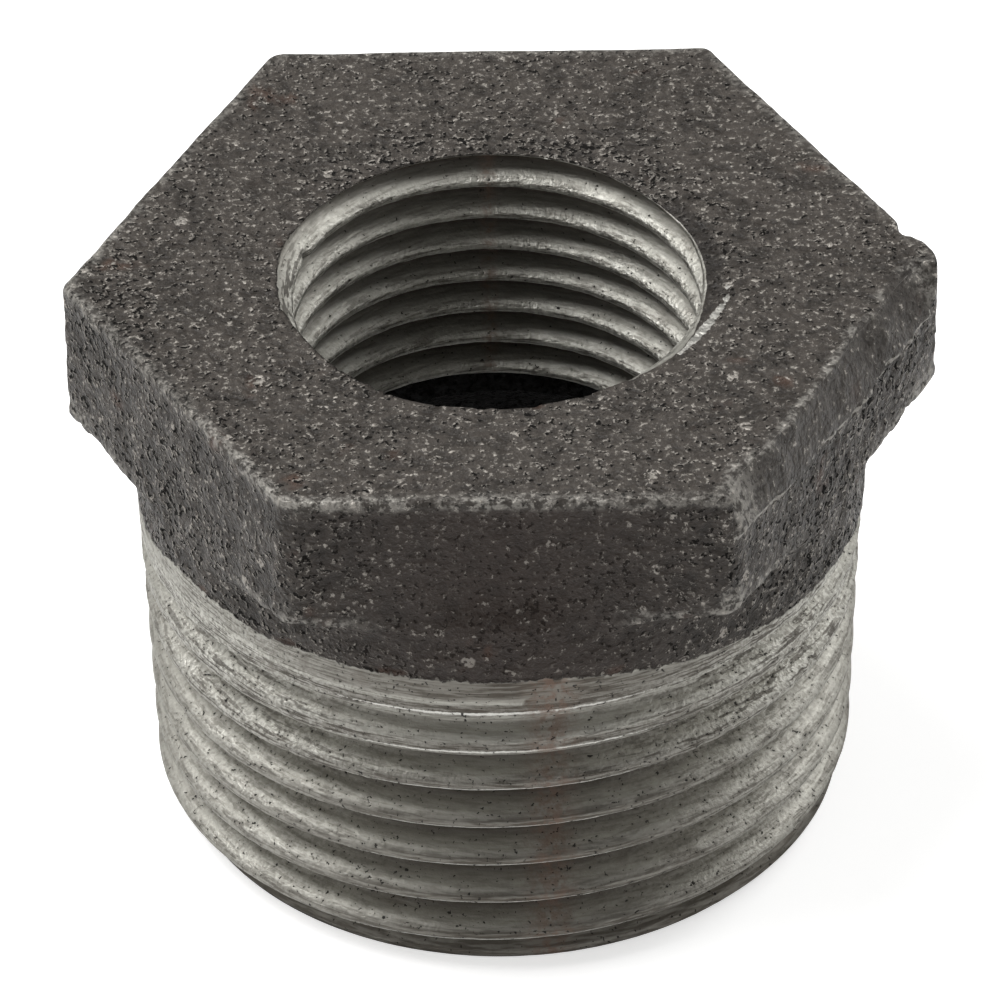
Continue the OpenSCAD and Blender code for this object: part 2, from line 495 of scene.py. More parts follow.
for t in np.linspace(0, 1, FLAT_ROWS):
    z = edge_z * (1 - t) + top_edge_z * t
    still_proud = proud * fade(under_z - 0.2, under_z + 1.3, z)
    neck_rings.append(head_ring(head_reach + still_proud, z))
add_rings(neck_rings, OUTER)
print("Neck and flat rings:", len(neck_rings))

# %% [markdown]
# The top face
# The head's top edge is a quarter round, which wavers in size as a rubbed edge does. From
# there the rings shrink from the hexagon to the mouth. They lie closer together near the
# mouth, where the skin is roughest.

# %% Rings of the top face
TOP_ROWS = 38
TOP_SPACING = 0.8
face_rings = [neck_rings[-1]]
for share in (0.35, 0.7, 1.0):
    turned = math.pi / 2 * share
    offset = head_reach - edge_top * (1 - np.cos(turned))
    face_rings.append(head_ring(offset, TOP_Z - edge_top * (1 - np.sin(turned))))
rim = face_rings[-1][:, :2]
mouth_ring = ring(mouth_radius(outer_angle), outer_angle, TOP_Z)
for t in np.linspace(0, 1, TOP_ROWS)[1:-1] ** TOP_SPACING:
    place = rim * (1 - t) + mouth_ring[:, :2] * t
    face_rings.append(np.column_stack([place, np.full(OUTER, TOP_Z)]))
face_rings.append(mouth_ring)
add_rings(face_rings, OUTER)
outer_mouth = count - OUTER
print("Top face rings:", len(face_rings))

# %% [markdown]
# Halving the columns
# Where the fine outer columns meet the coarse inner ones, each inner span is joined to two
# outer spans by three triangles.

# %% Stitches between fine and coarse rings
triangles = []


def stitch(fine_start, coarse_start, flip):
    """Joins a ring of OUTER points to one of INNER points. Flip turns the faces over."""
    j = np.arange(INNER)
    nxt = (j + 1) % INNER
    fine = fine_start + 2 * j
    middle = fine + 1
    fine_next = fine_start + 2 * nxt
    coarse = coarse_start + j
    coarse_next = coarse_start + nxt
    fans = [(fine, middle, coarse), (middle, coarse_next, coarse), (middle, fine_next, coarse_next)]
    for a, b, c in fans:
        triangles.append(np.stack([a, c, b] if flip else [a, b, c], axis=-1))


# %% [markdown]
# Down the bore and under the foot
# The bore's rings climb with its own thread. They are listed from the bottom up, so their
# faces are turned over to look into the hole. Below the thread a sloping shoulder widens
# into the cored hollow. A ring just under the thread keeps the last turn's edge clean.

# %% Rings of the bore, the core and the foot
FEMALE_OFFSETS = (-0.76, -0.56, -0.36, -0.175, 0.0, 0.175, 0.36, 0.56, 0.76, 0.907)
MOUTH_DROP = 0.12
heights = helix_rows(
    inner_angle, FEMALE_END_Z, TOP_Z - MOUTH_DROP, CREST_TOP_Z, BACK, FEMALE_PITCH, FEMALE_OFFSETS
)
angles = np.broadcast_to(inner_angle, heights.shape)
bore_start = count
add_rings(ring(bore_surface(angles, heights), angles, heights), INNER, len(FEMALE_OFFSETS))
quads[-1] = quads[-1][:, ::-1]
stitch(outer_mouth, bore_start + (len(heights) - 1) * INNER, False)
print("Bore rings:", len(heights))

FOOT_INNER = (12.2, 12.8)
FOOT_OUTER = (13.3, 13.9)
CLEAN_DROP = 0.05
hollow_z = FEMALE_END_Z - SHOULDER_HEIGHT
core_profile = [
    (FEMALE_RADIUS + 0.7, FEMALE_END_Z - 0.9),
    (FEMALE_RADIUS + 1.5, FEMALE_END_Z - 1.8),
]
for z in np.linspace(hollow_z, 0, 7):
    core_profile.append((CORE_RADIUS - z * CORE_DRAFT, z))
core_profile += [(foot_radius, 0.0) for foot_radius in FOOT_INNER]
thread_end = ring(bore_surface(inner_angle, FEMALE_END_Z), inner_angle, FEMALE_END_Z)
core_rings = [thread_end, thread_end - np.array([0, 0, CLEAN_DROP])]
core_rings += [ring(radius, inner_angle, z) for radius, z in core_profile]
add_rings(core_rings, INNER)
core_last = count - INNER
foot_rings = [ring(radius, outer_angle, 0.0) for radius in FOOT_OUTER]
foot_rings.append(ring(outer_surface(outer_angle, 0.0), outer_angle, 0.0))
foot_start = count
add_rings(foot_rings, OUTER)
stitch(foot_start, core_last, True)
print("Points before welding:", count)

# %% [markdown]
# Welding
# Points that fall on the same place become one point, and triangles with a repeated corner
# are dropped. What is left is one closed surface.

# %% Weld the rings into one surface
SAME_PLACE = 5e-5


def weld(all_points, all_triangles):
    """Merges coincident points and drops the triangles that have no area left."""
    keys = np.round(all_points / SAME_PLACE).astype(np.int64)
    _, keep, where = np.unique(keys, axis=0, return_index=True, return_inverse=True)
    merged = where.ravel()[all_triangles]
    a, b, c = merged.T
    solid = (a != b) & (b != c) & (c != a)
    return all_points[keep], merged[solid]


all_points = np.concatenate(points)
all_quads = np.concatenate(quads)
from_quads = np.concatenate([all_quads[:, [0, 1, 2]], all_quads[:, [0, 2, 3]]])
all_triangles = np.concatenate([from_quads] + triangles)
base, faces = weld(all_points, all_triangles)
print("Welded skin:", len(base), "points,", len(faces), "triangles")

# %% [markdown]
# Where each finish lies
# Outside, the iron is cut up to the wavy line where the tool left the casting. The bore was
# tapped all the way, and the core below it was never touched. The distance to the line is
# kept as an attribute, so that the material can break the line up finely.

# %% Finish of every point
HAIR = 0.01
OUTSIDE_FROM = 14.0
BORE_TO = 10.9
MIDDLE_RADIUS = 12.5
THREAD_FROM_Z = 1.0
FOOT_FINISH = 0.6
radius = np.hypot(base[:, 0], base[:, 1])
angle = np.arctan2(base[:, 1], base[:, 0]) % (2 * math.pi)
degrees = np.degrees(angle)
height = base[:, 2]
outside = (height < NECK_START_Z + HAIR) & (radius > OUTSIDE_FROM)
in_bore = (height > FEMALE_END_Z - HAIR) & (radius < BORE_TO) & (height < TOP_Z - HAIR)
in_core = (height < FEMALE_END_Z) & (radius < MIDDLE_RADIUS)

turned = np.full(len(base), -1.0)
turned[outside] = np.clip((cut_top(angle) - height)[outside] * 2.5, -1, 1)
turned[outside & (height < HAIR)] = FOOT_FINISH
turned[in_bore] = 1.0
cast = turned < 0
cut_outside = outside & (turned > 0)

male_above = above_crest(angle, height, MALE_CREST_Z, FRONT, MALE_PITCH)
male_away = np.abs(male_above)
male_depth = np.clip((crest_radius(height) - radius) / MALE_DEPTH, 0, 1)
male_depth *= outside & (height > THREAD_FROM_Z)
bore_depth = np.clip((radius - FEMALE_RADIUS) / (FEMALE_ROOT - FEMALE_RADIUS), 0, 1)
groove = np.where(in_bore, bore_depth, np.where(outside, male_depth, 0))
print("Points on cut iron:", int((turned > 0).sum()), "and on cast skin:", int(cast.sum()))

# %% [markdown]
# A sliver at the mouth
# The tap broke out through the face just outside the mouth, and left a curved sliver of bare
# iron with sunk skin inside it. Its middle line and half width are known at a few angles. Its
# attribute is the distance inside its edge, which stays crisp between points of the mesh.

# %% Sliver of cut iron
SLIVER_ANGLES = (321, 326, 332, 338, 344, 350, 359, 362)
SLIVER_RADII = (9.95, 10.02, 10.1, 10.2, 10.36, 10.55, 10.58, 10.6)
SLIVER_HALVES = (0.0, 0.12, 0.22, 0.24, 0.18, 0.14, 0.08, -0.05)
SLIVER_FROM = 319
SLIVER_TO = 395
FACE_SLACK = 0.05
wound = (degrees - 180) % 360 + 180
sliver_radius = np.interp(wound, SLIVER_ANGLES, SLIVER_RADII)
sliver_half = np.interp(wound, SLIVER_ANGLES, SLIVER_HALVES)
on_top = height > TOP_Z - FACE_SLACK
near_sliver = on_top & (radius < MIDDLE_RADIUS) & (wound > SLIVER_FROM) & (wound < SLIVER_TO)
sliver = np.where(near_sliver, sliver_half - np.abs(radius - sliver_radius), -1)
sunk = near_sliver * smooth_step(0.15, 0.4, sliver_radius - radius)
print("Points on the sliver:", int((sliver > 0).sum()))

# %% [markdown]
# Torn iron
# The tool tore the iron where it cut only lightly: along the crests, and all over the last
# turns at the two sides. In front, the lower edge of each crest gets a thin painted
# highlight line.

# %% Torn crests and the painted highlight along their edges
TORN_RIGHT = 318
TORN_LEFT = 222
EDGE_BELOW_CREST = 0.2
EDGE_TOP_Z = 16.2
upper = smooth_step(9.0, 13.0, height) * cut_outside
crest = cut_outside * fade(0.15, 0.6, male_away)
torn_side = np.maximum(around(degrees, TORN_RIGHT, 50), 0.8 * around(degrees, TORN_LEFT, 45))
torn_side *= cut_outside * (height > 1.5)
torn = np.clip(crest * (0.2 + 0.5 * upper) + torn_side * (0.3 + 0.5 * upper), 0, 1)
torn = np.maximum(torn, 0.7 * in_bore * fade(0.02, 0.5, bore_depth))

# A painted highlight: a thin line just below each crest in front.
from_edge = np.abs(male_above + EDGE_BELOW_CREST) / EDGE_BELOW_CREST
edge_line = cut_outside * (1 - np.clip(from_edge, 0, 1))
edge_line *= around(degrees, 268, 70) * (height < EDGE_TOP_Z)
print("Points on torn iron:", int((torn > 0.3).sum()))

# %% [markdown]
# The broken gate
# Iron was poured in through a gate on the right front flat, and the gate was knocked off.
# The break is a bevel along the flat's top edge. Its ragged upper edge lies some way in on
# the top face and its crisp lower edge some way down the flat, both known at a few places.
# Points outside the plane that joins the two edges are pulled onto it.

# %% Scar of the gate
GATE_SIDE = 5
GATE_HALF = 9.9
GATE_MIDDLE = -0.1
GATE_PROUD = 0.26
GATE_RAGGED = 0.12
UPPER_ALONG = (-8, -5.5, -2, 1.5, 3.8, 5, 7.2, 9.7)
UPPER_INSET = (1.0, 0.4, 0.55, 0.8, 1.1, 0.75, 1.25, 1.0)
LOWER_ALONG = (-9, -6.5, -3.7, -1.9, 0.5, 2.6, 4.8, 7.3, 8.6, 9.3)
LOWER_DROP = (2.3, 2.5, 2.9, 2.6, 3.0, 2.85, 2.35, 2.7, 2.5, 1.6)
FAR_AWAY = 5.0

gate_normal = toward(SIDE_NORMALS[GATE_SIDE])
in_head = base[:, :2] - HEAD_SHIFT
gate_along = in_head @ leftward(gate_normal)
gate_out = in_head @ gate_normal - SIDE_OUT[GATE_SIDE]
drop = TOP_Z - height
inset = np.interp(gate_along, UPPER_ALONG, UPPER_INSET) + GATE_RAGGED * fractal(base, 1.1, 3, 29)
deep = np.interp(gate_along, LOWER_ALONG, LOWER_DROP) + GATE_RAGGED * fractal(base, 1.2, 3, 31)
ends = smooth_step(0, 0.5, GATE_HALF - np.abs(gate_along - GATE_MIDDLE))
near_gate = (gate_out > -2.2) & (drop < 4.5)
slope_out = 1 / (inset + GATE_PROUD)
slope_up = 1 / deep
outside_bevel = (gate_out + inset) * slope_out - drop * slope_up
on_scar = near_gate & (drop < deep) & ((outside_bevel > 0) | (gate_out > -0.35))
scar = on_scar * ends
pull = -scar * outside_bevel / (slope_out**2 + slope_up**2)
base[:, :2] += (pull * slope_out)[:, None] * gate_normal
base[:, 2] += pull * slope_up
down_scar = (TOP_Z - base[:, 2]) * slope_up
crown = np.clip(4 * scar * down_scar * (1 - down_scar), 0, 1)
lower_edge = np.where(near_gate & (ends > 0) & (gate_out > -0.4), drop - deep, FAR_AWAY)
from_ridge = np.abs(gate_out + inset)
upper_line = near_gate * ends * (drop < 0.4) * fade(0.08, 0.4, from_ridge)
print("Points on the scar:", int(on_scar.sum()))

# %% [markdown]
# Which way is out
# Every point of the skin moves along its own normal, and what is near the head's top edge
# moves less, because that edge was rubbed.

# %% Normals and the distance from the top edge
def point_normals(place, tris):
    """Unit normal of each point: the sum of its triangles' area vectors."""
    a, b, c = (place[tris[:, k]] for k in range(3))
    area = np.cross(b - a, c - a)
    total = np.zeros_like(place)
    for k in range(3):
        for axis in range(3):
            total[:, axis] += np.bincount(tris[:, k], area[:, axis], len(place))
    return total / np.maximum(np.linalg.norm(total, axis=1, keepdims=True), 1e-12)


def drop_from_edge(place):
    """Distance from the head's top edge, in a side view of the nearest flat."""
    reach = np.full(len(place), -np.inf)
    for side_angle, out in zip(SIDE_NORMALS, SIDE_OUT):
        reach = np.maximum(reach, (place[:, :2] - HEAD_SHIFT) @ toward(side_angle) - out)
    return np.hypot(reach, TOP_Z - place[:, 2])


normal = point_normals(base, faces)
edge_drop = drop_from_edge(base)

# %% [markdown]
# The sand's print
# The mould's sand left crumbs, pits and crevices at several sizes, over slow swells of the
# whole face. The skin is crustiest behind the mouth, on the left front side and round the
# gate. It is calm at the top edge, most of all at the back. The lumps stand behind the mouth.

# %% Movement of the cast skin
CRUMB = 0.028
PIT_DEPTH = 0.1
CREVICE_DEPTH = 0.07
SKIN_LIFT = 0.02
SWELL = 0.035
LUMP = 0.1
crusty = fade(10.5, 13.5, radius) * (0.15 + 0.85 * around(degrees, 80, 110))
crusty = np.maximum(crusty, around(degrees, 200, 60) * smooth_step(14, 17, radius))
crusty = np.maximum(crusty, around(degrees, 335, 45) * (height < TOP_Z - 0.5))
crusty *= cast * (1 - scar)
crevice = smooth_step(0.12, 0.45, fractal(base, 0.75, 3, 51) + 0.22 * crusty)
pits = spots(base, 0.85, 0.3, 53)
calm = 0.35 + 0.65 * smooth_step(0.2, 1.2, edge_drop)
back_edge = around(degrees, 95, 105) ** 0.5 * fade(0.3, 1.0, edge_drop)

skin = 0.02 * fractal(base, 1.7, 2, 41) + (CRUMB + 0.012 * crusty) * fractal(base, 0.5, 2, 47)
skin += SKIN_LIFT - (PIT_DEPTH * np.sqrt(pits) + CREVICE_DEPTH * crevice) * calm
skin += SWELL * fractal(base, 6.0, 2, 59) * (radius > MIDDLE_RADIUS)
move = np.where(cast, skin * (1 - 0.8 * back_edge) * (1 - 0.6 * scar), 0)

behind_mouth = around(degrees, 80, 120) * fade(11.2, 12.6, radius) * (1 - sunk)
move += LUMP * np.sqrt(spots(base, 0.8, 0.45, 111)) * cast * behind_mouth * on_top
print("Cast skin moves in mm:", move.min().round(3), move.max().round(3))

# %% [markdown]
# Cut iron and broken iron
# Torn crests are cut back and grainy, and on the right the tool chattered, which left short
# steps about a degree apart. The scar is crowned and furrowed. The flat behind it has a
# notch near the corner, with a lump beyond.

# %% Movement of the cut and broken iron
CHATTER = 0.06
MM_PER_DEGREE = 0.29
TOOTH = 0.28
DENT = 0.02
CROWN = 0.1
FURROW = 0.07
NOTCH_SIDE = 0
NOTCH_ALONG = -7.2
NOTCH_DEPTH = 0.26
CORNER_LUMP_ALONG = -8.9
CORNER_LUMP = 0.13
CORE_END_Z = 0.6
grain = fractal(base, 0.45, 2, 61)
round_and_up = np.column_stack([degrees * MM_PER_DEGREE / TOOTH, height * 0.6, degrees * 0])
chatter = around(degrees, TORN_RIGHT, 42) * upper * crest
furrow = fractal(base * np.array([1, 1, 0.45]), 0.9, 3, 73)
dents = spots(base * np.array([1, 1, 1.4]), 3.2, 0.1, 79)
move += 0.03 * (sliver > 0) - 0.08 * sunk
move += torn * (-0.02 + 0.035 * grain) + CHATTER * chatter * value_noise(round_and_up, 1.0, 67)
move += (turned > 0) * 0.006 * value_noise(base, 0.9, 71) - DENT * dents * cut_outside
move += scar * (CROWN * crown + FURROW * furrow) + FURROW * upper_line * np.clip(furrow, 0, 1)

notch_normal = toward(SIDE_NORMALS[NOTCH_SIDE])
notch_along = in_head @ leftward(notch_normal)
on_flat = (np.abs(in_head @ notch_normal - SIDE_OUT[NOTCH_SIDE]) < 0.9) * (height > 21)
from_notch = np.abs(notch_along - NOTCH_ALONG)
from_lump = np.abs(notch_along - CORNER_LUMP_ALONG)
move -= NOTCH_DEPTH * on_flat * fade(0.1, 0.8, from_notch)
move += CORNER_LUMP * on_flat * fade(0.3, 1.1, from_lump)
move[(height > HAIR) & (height < CORE_END_Z) & (radius < 12.3)] *= 0.5

place = base + normal * move[:, None]
place = np.clip(place, cad_low, cad_high)
print("Skin moves in mm:", move.min().round(3), move.max().round(3))

# %% [markdown]
# Worn edges
# The head's edges and corners rub against other iron and lose their dark skin. A point is
# worn near the edge of the top face, at a lower corner, at the ends of the scar or on its
# ridge.

# %% Wear
edge_radius = np.interp(angle, column_angle, head_radius, period=2 * math.pi)
head_edge = np.abs(np.linalg.norm(base[:, :2], axis=1) - edge_radius)
near_top = fade(0.2, 0.7, TOP_Z - height) * fade(0.2, 0.75, head_edge)
above_low = height - np.interp(degrees, np.degrees(outer_angle), under_z)
near_low = (np.abs(above_low) < 0.45) * smooth_step(17.0, 18.2, radius)
low_corner = fade(0.3, 1.3, np.abs(above_low - 0.5)) * smooth_step(18.5, 19.3, radius)
near_low = np.maximum(near_low, low_corner)
front_left = 0.55 + 0.45 * around(degrees, 225, 100)
wear = np.clip(near_top * front_left + 0.9 * near_low, 0, 1) * cast * (1 - scar)
wear *= np.clip(0.7 + 0.5 * fractal(base, 1.3, 3, 83), 0, 1)
wear = np.maximum(wear, 0.75 * scar * fade(-9.4, -6.6, gate_along))
wear = np.maximum(wear, 0.5 * scar * smooth_step(8.2, 9.4, gate_along))
ridge = upper_line * np.clip(0.45 + 1.2 * fractal(base, 0.9, 2, 87), 0, 1)
wear = np.maximum(wear, 0.9 * ridge)
print("Worn points:", int((wear > 0.5).sum()))

# %% [markdown]
# Where colours change
# Some marks lie in one place, such as the painted shade that makes the front side darker
# and browner, the painted shade on steep faces in front, the rusty streaks and the turning
# arcs at the mouth. Others come from noise: mottling, rust, dirt, pale specks painted as
# glints, and painted shade in the hollows.

# %% Masks for the material
# Painted shade: the side facing the camera is made darker and browner.
side_dark = around(degrees, FRONT, 34) ** 0.5 * (height < TOP_Z - 0.3) * cast * (1 - wear)
streak = np.maximum(around(degrees, 277, 6) * outside, around(degrees, 91.5, 3) * in_bore)
arcs = in_bore * around(degrees, 178, 36) * smooth_step(25.6, 26.2, height)
front = around(degrees, 273, 60) * outside + (0.35 + 0.5 * around(degrees, 95, 75)) * in_bore
# Painted shade on steep faces: the crests in front, the run-out's top and the foot's chamfer.
upright = cut_outside * fade(0.1, 0.5, male_away) * (0.3 + 0.7 * front)
upright = np.maximum(upright, cut_outside * (height > 16.4) * (0.25 + 0.75 * front))
upright = np.maximum(upright, 0.85 * outside * fade(0.9, 1.5, height))
masks = dict(turned=turned, groove=groove, torn=torn, scar=scar, wear=wear, crusty=crusty)
masks.update(side_dark=side_dark, streak=streak, arcs=arcs, front=front, upright=upright)
masks.update(sliver=sliver, sunk=sunk, edge_line=edge_line, lower_edge=lower_edge)
masks["core"] = 1.0 * in_core
masks["bored"] = 1.0 * in_bore
# Spots for the larger specks, which are painted glints.
masks["glint"] = spots(base, 1.3, 0.12, 113) * cast
masks["tone"] = np.clip(0.5 + 0.3 * fractal(base, 2.4, 3, 91), 0, 1)
masks["rusty"] = smooth_step(0.75, 1.15, fractal(base, 1.6, 3, 97))
masks["dirt"] = smooth_step(0.55, 1.1, fractal(base, 1.3, 4, 101))
# Painted shade in the crevices and pits.
masks["hollow_shade"] = np.clip(crevice + 1.5 * pits, 0, 1) * cast
print("Masks:", len(masks))

# %% [markdown]
# Into Blender
# The arrays become one mesh. Its attributes carry the masks, and it stands for the solid.

# %% Build the mesh
scene = bpy.context.scene


def add_object(name, data):
    """An object in the scene that shows a mesh, a lamp or a camera."""
    thing = bpy.data.objects.new(name, data)
    scene.collection.objects.link(thing)
    return thing


def make_piece(name, place_mm, tris, masks):
    """A mesh object from points in millimetres, triangles and named masks of its points."""
    mesh = bpy.data.meshes.new(name)
    mesh.vertices.add(len(place_mm))
    mesh.vertices.foreach_set("co", (place_mm * MM).ravel())
    mesh.loops.add(len(tris) * 3)
    mesh.loops.foreach_set("vertex_index", tris.astype(np.int32).ravel())
    mesh.polygons.add(len(tris))
    mesh.polygons.foreach_set("loop_start", np.arange(0, len(tris) * 3, 3, dtype=np.int32))
    mesh.polygons.foreach_set("use_smooth", np.ones(len(tris), bool))
    mesh.update(calc_edges=True)
    mesh.validate()
    for mask_name, values in masks.items():
        layer = mesh.attributes.new(mask_name, "FLOAT", "POINT")
        layer.data.foreach_set("value", np.asarray(values, np.float32))
    return add_object(name, mesh)


bushing = make_piece("bushing_casting", place, faces, masks)
edges = np.concatenate([faces[:, [0, 1]], faces[:, [1, 2]], faces[:, [2, 0]]])
_, uses = np.unique(np.sort(edges, axis=1), axis=0, return_counts=True)
print("Edges that don't join two faces:", int((uses != 2).sum()))
print("Triangles:", len(bushing.data.polygons))
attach(bushing, "root")
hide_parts(NODE)

# %% [markdown]
# Small helpers for materials
# A material is a graph of nodes. This class adds a node, feeds its inputs and returns its
# output, so each finish below reads as a short list of steps.

# %% Graph of nodes
MIX_SOCKETS = {"RGBA": (0, 6, 7), "FLOAT": (0, 2, 3)}
MIX_OUTPUT = {"RGBA": 2, "FLOAT": 0}


class Graph:
    """The nodes of one material, with a short method for each kind of step."""

    def __init__(self, tree):
        self.tree = tree

    def feed(self, socket, value):
        """Links an input to another node's output, or sets it to a number or a colour."""
        if isinstance(value, bpy.types.NodeSocket):
            self.tree.links.new(value, socket)
        elif socket.type == "RGBA":
            socket.default_value = (*value, 1.0)
        else:
            socket.default_value = value

    def node(self, kind, **inputs):
        """A node with its inputs fed. An underscore in a name stands for a space."""
        node = self.tree.nodes.new(kind)
        for name, value in inputs.items():
            self.feed(node.inputs[name.replace("_", " ")], value)
        return node

    def mask(self, name):
        """One of the piece's own masks."""
        node = self.tree.nodes.new("ShaderNodeAttribute")
        node.attribute_name = name
        return node.outputs["Fac"]

    def moved(self, coords, **change):
        """Coordinates with another location or scale."""
        return self.node("ShaderNodeMapping", Vector=coords, **change).outputs["Vector"]

    def noise(self, coords, scale, detail, rough):
        """Fractal noise from 0 to 1 at that many bumps a metre."""
        sizes = {"Scale": scale, "Detail": detail, "Roughness": rough}
        return self.node("ShaderNodeTexNoise", Vector=coords, **sizes).outputs["Fac"]

    def ramp(self, value, low, high, to_low=0.0, to_high=1.0):
        """Turns low..high into to_low..to_high with soft ends."""
        ends = {"From_Min": low, "From_Max": high, "To_Min": to_low, "To_Max": to_high}
        node = self.node("ShaderNodeMapRange", Value=value, **ends)
        node.interpolation_type = "SMOOTHSTEP"
        return node.outputs["Result"]

    def math(self, operation, a, b=0.0):
        """One sum on two values."""
        node = self.tree.nodes.new("ShaderNodeMath")
        node.operation = operation
        for socket, value in zip(node.inputs, (a, b)):
            self.feed(socket, value)
        return node.outputs["Value"]

    def plus(self, a, b):
        """The sum of two values."""
        return self.math("ADD", a, b)

    def minus(self, a, b):
        """The difference of two values."""
        return self.math("SUBTRACT", a, b)

    def times(self, a, b):
        """The product of two values."""
        return self.math("MULTIPLY", a, b)

    def larger(self, a, b):
        """The larger of two values."""
        return self.math("MAXIMUM", a, b)

    def mix(self, factor, a, b, kind="RGBA"):
        """A colour between a and b, or a number between them."""
        node = self.tree.nodes.new("ShaderNodeMix")
        node.data_type = kind
        for socket, value in zip(MIX_SOCKETS[kind], (factor, a, b)):
            self.feed(node.inputs[socket], value)
        return node.outputs[MIX_OUTPUT[kind]]

    def paint(self, colour, layers):
        """Lays colours over a first one. A layer is how much of it shows, and its colour."""
        for share, over in layers:
            colour = self.mix(share, colour, over)
        return colour


# %% [markdown]
# Cast skin and cut iron
# Cast skin is dark, warm grey and rough. Cut iron is bare metal: lighter and shinier. One
# material holds both, and a mask tells which one a point has. They share a few patterns:
# noise at three sizes, and level lines such as a turning tool leaves.

# %% Patterns of the casting
iron = bpy.data.materials.new("cast_iron_skin_and_cut")
iron.use_nodes = True
shader = iron.node_tree.nodes["Principled BSDF"]
shader.inputs["Specular IOR Level"].default_value = 0.22
g = Graph(iron.node_tree)
coords = g.node("ShaderNodeTexCoord").outputs["Object"]
fine = g.noise(coords, 4700, 2, 0.6)
medium = g.noise(coords, 2500, 3, 0.65)
coarse = g.noise(coords, 1250, 2, 0.5)
lines = g.noise(g.moved(coords, Scale=(0.07, 0.07, 1.0)), 9000, 2, 0.6)
is_cut = g.ramp(g.plus(g.mask("turned"), g.minus(medium, 0.5)), -0.08, 0.08)
in_front = g.mask("front")
# Painted shade on the front side, which also weakens the other marks there.
in_shade = g.mask("side_dark")
mottle = g.mask("tone")
is_torn = g.mask("torn")

# %% [markdown]
# Marks on the skin
# Pits are the low spots of one noise and are painted near black as shade, and crevices get
# painted shade too. The same noise, sampled a little to one side, paints a highlight on each
# pit's far rim. Specks and rubbed grains are the high spots of two noises at once, so they
# come in uneven sizes; the specks are painted glints. Wear, the gate's lower edge and the
# sliver are ragged.

# %% Pits with painted shade and highlights, specks painted as glints, and worn places
PIT_SHIFT = (0.00007, -0.00006, 0.00006)
more_pits = g.plus(g.ramp(mottle, 0.15, 0.85, 0.025, -0.035), g.times(g.mask("crusty"), 0.055))
more_pits = g.minus(more_pits, g.times(g.mask("scar"), 0.05))
pit_shape = g.minus(g.noise(coords, 3600, 3, 0.6), more_pits)
# The same noise shifted a little, for the painted highlight on each pit's far rim.
rim_shape = g.minus(g.noise(g.moved(coords, Location=PIT_SHIFT), 3600, 3, 0.6), more_pits)
# Pits are painted near black as shade, and their far rims get a painted highlight.
pit = g.ramp(pit_shape, 0.36, 0.39, 1, 0)
rim_highlight = g.times(g.ramp(rim_shape, 0.355, 0.385, 1, 0), g.ramp(pit_shape, 0.385, 0.42))
rim_highlight = g.times(rim_highlight, g.ramp(in_shade, 0, 1, 0.75, 0.1))
# Painted shade in the pits and crevices, weaker on the front side.
hollow = g.larger(g.times(g.mask("hollow_shade"), 0.4), pit)
hollow = g.times(hollow, g.ramp(in_shade, 0, 1, 1.0, 0.45))

# The specks are painted glints.
glint_speck = g.times(g.ramp(medium, 0.61, 0.645), g.ramp(fine, 0.47, 0.55))
large_glint_speck = g.times(g.ramp(g.mask("glint"), 0.4, 0.5), g.ramp(medium, 0.45, 0.5))
glint_speck = g.times(g.larger(glint_speck, large_glint_speck), g.ramp(in_shade, 0, 1, 1.0, 0.6))
rubbed = g.times(g.ramp(fine, 0.56, 0.62), g.ramp(medium, 0.48, 0.56))
rubbed = g.times(rubbed, g.ramp(mottle, 0.3, 0.7, 0.35, 1.0))
rubbed = g.times(rubbed, g.minus(1.0, g.times(in_shade, 0.8)))

worn = g.times(g.mask("wear"), g.ramp(medium, 0.42, 0.56, 0.1, 1))
ragged_edge = g.plus(g.mask("lower_edge"), g.ramp(medium, 0.3, 0.7, -0.12, 0.12))
gate_line = g.ramp(g.math("ABSOLUTE", ragged_edge), 0.06, 0.18, 1.0, 0.0)
worn = g.larger(worn, g.times(gate_line, g.ramp(fine, 0.35, 0.5, 0.55, 1.0)))
ragged_sliver = g.plus(g.mask("sliver"), g.ramp(medium, 0.3, 0.7, -0.07, 0.07))
bare_sliver = g.ramp(ragged_sliver, 0.0, 0.04)

# %% [markdown]
# The skin's colour
# The colours are laid over one another, the first ones lowest: the mottled base, the painted
# shade of the front side, rubbing and rust, the painted highlights on the pits' rims and the
# painted shade in the pits and crevices, then the scar, worn iron, the specks painted as
# glints, sunk skin and bare iron, and last the dark core.

# %% Colour of the skin
skin_colour = g.mix(g.ramp(medium, 0.38, 0.62), (0.038, 0.0325, 0.028), (0.08, 0.07, 0.061))
scar_colour = g.mix(g.ramp(medium, 0.4, 0.6), (0.05, 0.044, 0.039), (0.1, 0.092, 0.083))
skin_layers = (
    (g.times(mottle, 0.7), (0.064, 0.055, 0.047)),
    # Painted shade on the front side, darker and browner.
    (g.times(in_shade, 0.8), (0.038, 0.0265, 0.0215)),
    (rubbed, (0.34, 0.318, 0.285)),
    (g.times(g.mask("rusty"), 0.5), (0.1, 0.05, 0.032)),
    # Painted highlight on the pits' rims.
    (rim_highlight, (0.36, 0.335, 0.3)),
    # Painted shade in the pits and crevices.
    (g.times(hollow, 0.95), (0.004, 0.0035, 0.003)),
    (g.times(g.mask("scar"), 0.65), scar_colour),
    (worn, (0.36, 0.345, 0.315)),
    # Specks painted as glints.
    (g.times(glint_speck, 0.8), (0.45, 0.42, 0.38)),
    (g.times(g.mask("sunk"), 0.7), (0.02, 0.017, 0.015)),
    (bare_sliver, (0.42, 0.41, 0.38)),
    (g.mask("core"), (0.012, 0.011, 0.01)),
)
skin_colour = g.paint(skin_colour, skin_layers)
print("Colours laid on the skin:", len(skin_layers))
